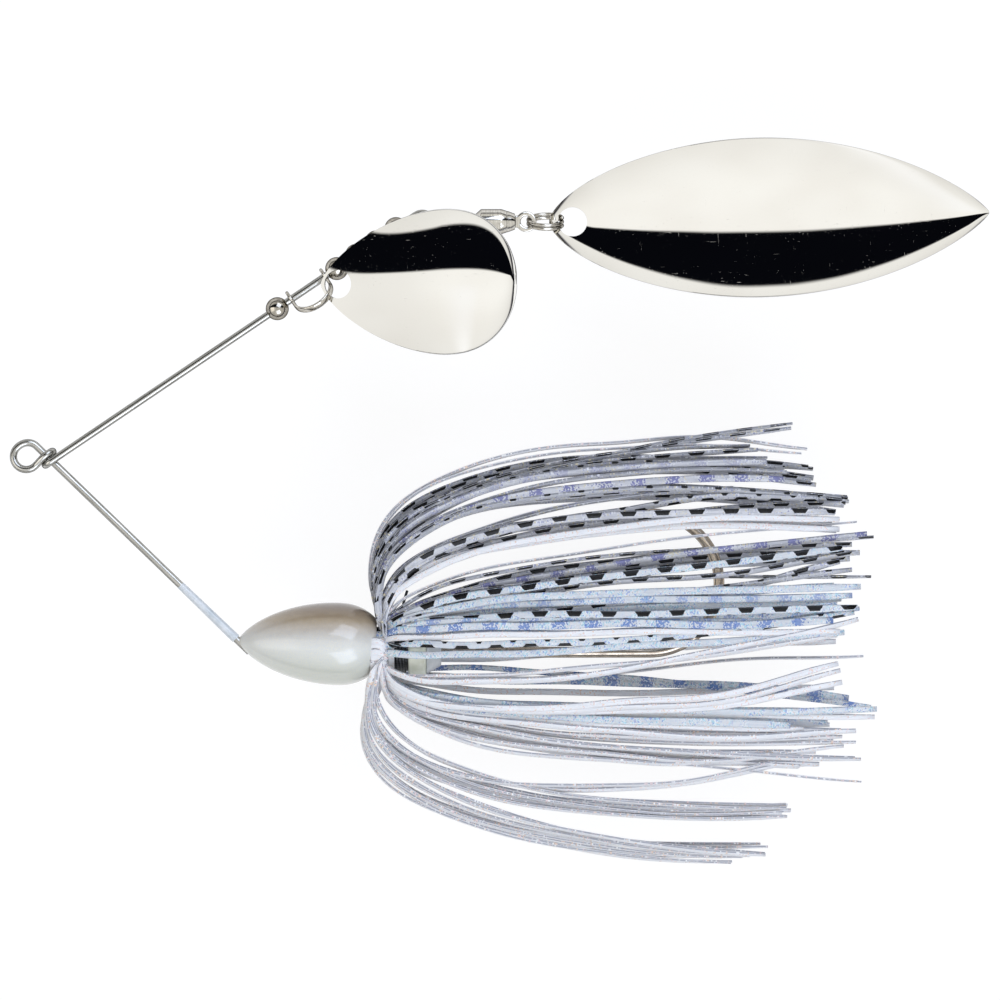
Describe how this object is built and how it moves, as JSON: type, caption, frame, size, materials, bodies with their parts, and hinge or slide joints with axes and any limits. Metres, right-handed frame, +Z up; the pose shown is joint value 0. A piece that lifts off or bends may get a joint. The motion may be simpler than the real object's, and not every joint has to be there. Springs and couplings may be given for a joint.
{
  "type": "spinnerbait",
  "caption": "Wire-frame spinnerbait with a cast minnow head, flared silicone skirt, single hook, and a teardrop and a leaf spinner blade on a clevis and a ball-bearing swivel.",
  "frame": {"origin": "centre of the line-tie loop, in the plane of the lower arm and the hook", "axes": "+X aft along the hook shank, +Y from the hook shank towards the blades, +Z up from the side that the lure lies on"},
  "size_m": [0.1208, 0.0892, 0.0147],
  "materials": {
    "frame_wire": "bright drawn spring wire",
    "arm_coat": "thin pearl-blue paint run up the wire, gloss",
    "head_paint": "pearl white airbrushed to grey-brown on the back, clear gloss coat",
    "hook_wire": "bronze-nickel plated, polished",
    "skirt_barred": "translucent grey-blue silicone with black bars and fine flake",
    "skirt_glitter": "silvery blue silicone with holographic flake and black bars",
    "skirt_clear": "clear silicone with fine pearl flake",
    "binding_thread": "waxed black thread, tightly wound",
    "collar_rubber": "cream moulded rubber, satin",
    "keeper_clear": "clear moulded plastic",
    "bead_metal": "black-nickel plated, polished",
    "fittings": "nickel plated, polished",
    "swivel_metal": "nickel plated, polished",
    "blade_plate": "nickel plated and hand polished, fine hairline scratches"
  },
  "bodies": {
    "frame": {"wire_frame": "frame_wire", "arm_coat": "arm_coat", "head": "head_paint", "hook": "hook_wire", "skirt_core": "skirt_clear", "skirt_binding": "binding_thread", "skirt_collar": "collar_rubber", "trailer_keeper": "keeper_clear", "skirt_upper_front": "skirt_barred", "skirt_upper_back": "skirt_barred", "skirt_side_front": "skirt_glitter", "skirt_side_back": "skirt_glitter", "skirt_lower_front": "skirt_clear", "skirt_lower_back": "skirt_clear", "stop_bead": "bead_metal"},
    "bead_1": {"bead_1": "bead_metal"},
    "bead_2": {"bead_2": "bead_metal"},
    "bead_3": {"bead_3": "bead_metal"},
    "bead_4": {"bead_4": "bead_metal"},
    "clevis": {"clevis": "fittings"},
    "colorado": {"colorado_blade": "blade_plate"},
    "ring": {"swivel_ring": "fittings"},
    "eye": {"swivel_eye": "swivel_metal"},
    "barrel": {"swivel_barrel": "swivel_metal", "swivel_balls": "swivel_metal", "swivel_end_eye": "swivel_metal"},
    "split": {"split_ring": "fittings"},
    "willow": {"willow_blade": "blade_plate"}
  },
  "joints": [
    {"name": "bead_1_spin", "type": "hinge", "parent": "frame", "child": "bead_1", "pos_m": [0.03835, 0.02319, 0.00093], "axis": [0.829, 0.5592, 0], "continuous": true},
    {"name": "bead_2_spin", "type": "hinge", "parent": "frame", "child": "bead_2", "pos_m": [0.04079, 0.02484, 0.00093], "axis": [0.829, 0.5592, 0], "continuous": true},
    {"name": "bead_3_spin", "type": "hinge", "parent": "frame", "child": "bead_3", "pos_m": [0.04322, 0.02648, 0.00093], "axis": [0.829, 0.5592, 0], "continuous": true},
    {"name": "bead_4_spin", "type": "hinge", "parent": "frame", "child": "bead_4", "pos_m": [0.04566, 0.02812, 0.00093], "axis": [0.829, 0.5592, 0], "continuous": true},
    {"name": "clevis_spin", "type": "hinge", "parent": "frame", "child": "clevis", "pos_m": [0.03483, 0.02082, 0.00093], "axis": [0.829, 0.5592, 0], "continuous": true},
    {"name": "colorado_swing", "type": "hinge", "parent": "clevis", "child": "colorado", "pos_m": [0.03783, 0.02088, 0.00308], "axis": [0.0506, -0.9987, 0], "range_deg": [0, 28]},
    {"name": "ring_swing", "type": "hinge", "parent": "frame", "child": "ring", "pos_m": [0.04933, 0.02898, 0.00093], "axis": [0, 0, 1], "range_deg": [-3, 15]},
    {"name": "eye_swing", "type": "hinge", "parent": "ring", "child": "eye", "pos_m": [0.05333, 0.02898, 0.00093], "axis": [0, 0, 1], "range_deg": [-3, 15]},
    {"name": "barrel_spin", "type": "hinge", "parent": "eye", "child": "barrel", "pos_m": [0.05529, 0.02898, 0.00093], "axis": [1, 0, 0], "continuous": true},
    {"name": "split_swing", "type": "hinge", "parent": "barrel", "child": "split", "pos_m": [0.06197, 0.02898, 0.00093], "axis": [0, 0, 1], "range_deg": [-12, 12]},
    {"name": "willow_swing", "type": "hinge", "parent": "split", "child": "willow", "pos_m": [0.06617, 0.02898, 0.00093], "axis": [0, -1, 0], "range_deg": [-8, 20]}
  ]
}
